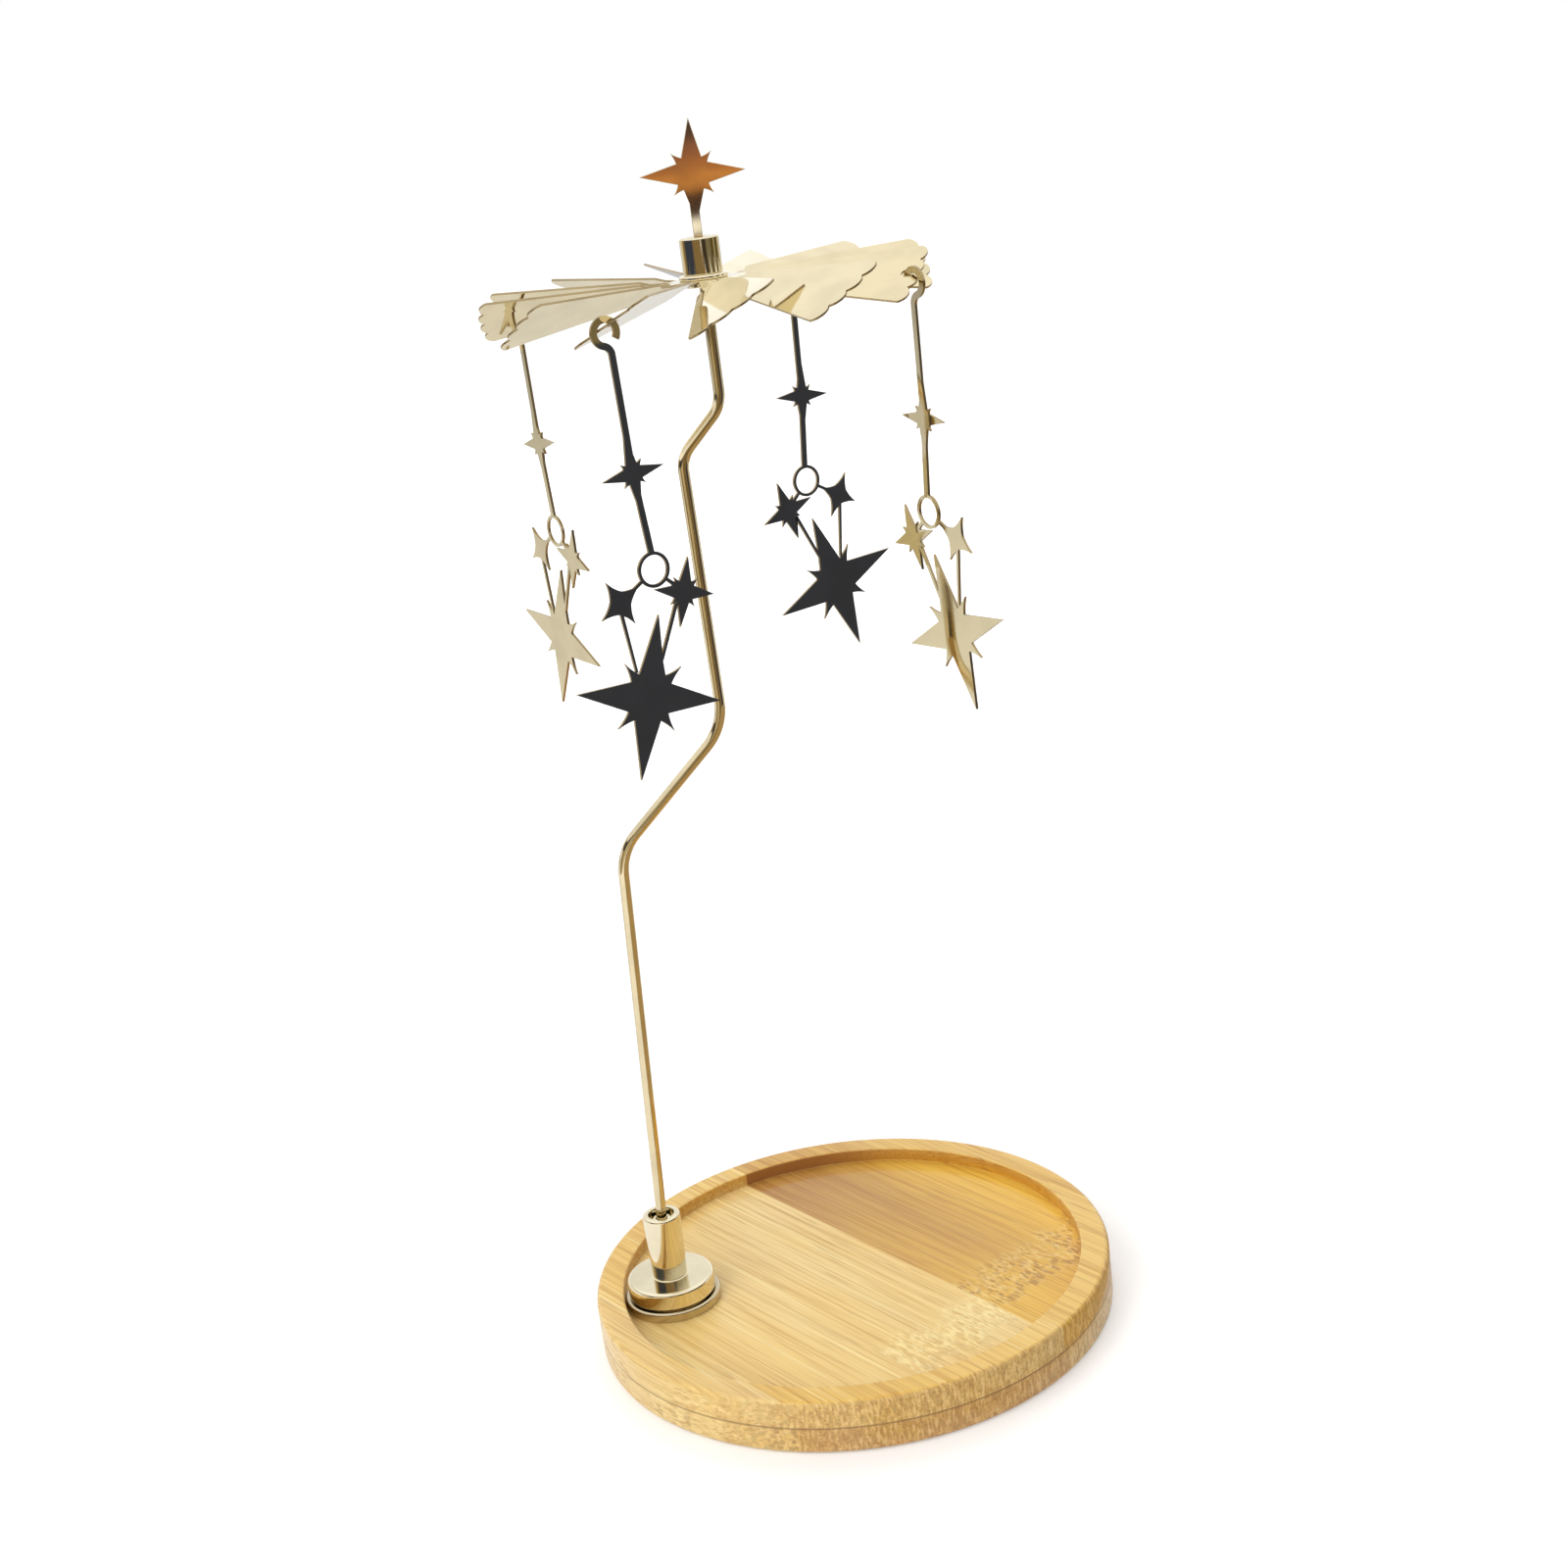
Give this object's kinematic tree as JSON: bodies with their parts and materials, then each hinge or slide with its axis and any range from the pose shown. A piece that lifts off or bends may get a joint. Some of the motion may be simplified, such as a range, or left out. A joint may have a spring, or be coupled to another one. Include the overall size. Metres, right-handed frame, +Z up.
{
  "type": "tea light carousel",
  "caption": "Tea light carousel: a round bamboo tray, a jogged gold wire stem and a twisted-vane wheel on its needle point, with hanging stars and a star on top, turned by warm air.",
  "frame": {"origin": "middle of the tray's underside, on the surface it stands on", "axes": "+Z up along the rotor's axis, -X from the tray's middle towards the foot of the stem"},
  "size_m": [0.1, 0.1, 0.2251],
  "materials": {
    "bamboo": "satin varnish over strip-laminated bamboo",
    "turned_gold": "turned and polished, pale gold plate",
    "gold_wire": "polished wire, pale gold plate",
    "gold_sheet": "mirror-polished etched sheet, pale gold plate",
    "cup_brass": "plain brass",
    "screw_steel": "bright zinc plate"
  },
  "bodies": {
    "base": {"tray_bottom_board": "bamboo", "tray_top_board": "bamboo", "foot_plate": "turned_gold", "stem_socket": "turned_gold", "foot_screw": "screw_steel", "stem_collar": "turned_gold", "stem": "gold_wire"},
    "rotor": {"hub_cap": "turned_gold", "bearing_cup": "cup_brass", "hub_washer": "turned_gold", "retaining_ring": "turned_gold", "vane_wheel": "gold_sheet", "finial_star": "gold_sheet"},
    "pendant_front_body": {"pendant_front": "gold_sheet"},
    "pendant_right_body": {"pendant_right": "gold_sheet"},
    "pendant_back_body": {"pendant_back": "gold_sheet"},
    "pendant_left_body": {"pendant_left": "gold_sheet"}
  },
  "joints": [
    {"name": "rotor_spin", "type": "hinge", "parent": "base", "child": "rotor", "pos_m": [-0.0035, 0, 0.20275], "axis": [0, 0, 1], "continuous": true},
    {"name": "pendant_front_swing", "type": "hinge", "parent": "rotor", "child": "pendant_front_body", "pos_m": [-0.02199, -0.03289, 0.19508], "axis": [0.4695, -0.8829, 0], "range_deg": [-15, 15]},
    {"name": "pendant_right_swing", "type": "hinge", "parent": "rotor", "child": "pendant_right_body", "pos_m": [0.02939, -0.01849, 0.19508], "axis": [0.8829, 0.4695, 0], "range_deg": [-15, 15]},
    {"name": "pendant_back_swing", "type": "hinge", "parent": "rotor", "child": "pendant_back_body", "pos_m": [0.01499, 0.03289, 0.19508], "axis": [-0.4695, 0.8829, 0], "range_deg": [-15, 15]},
    {"name": "pendant_left_swing", "type": "hinge", "parent": "rotor", "child": "pendant_left_body", "pos_m": [-0.03639, 0.01849, 0.19508], "axis": [-0.8829, -0.4695, 0], "range_deg": [-15, 15]}
  ]
}
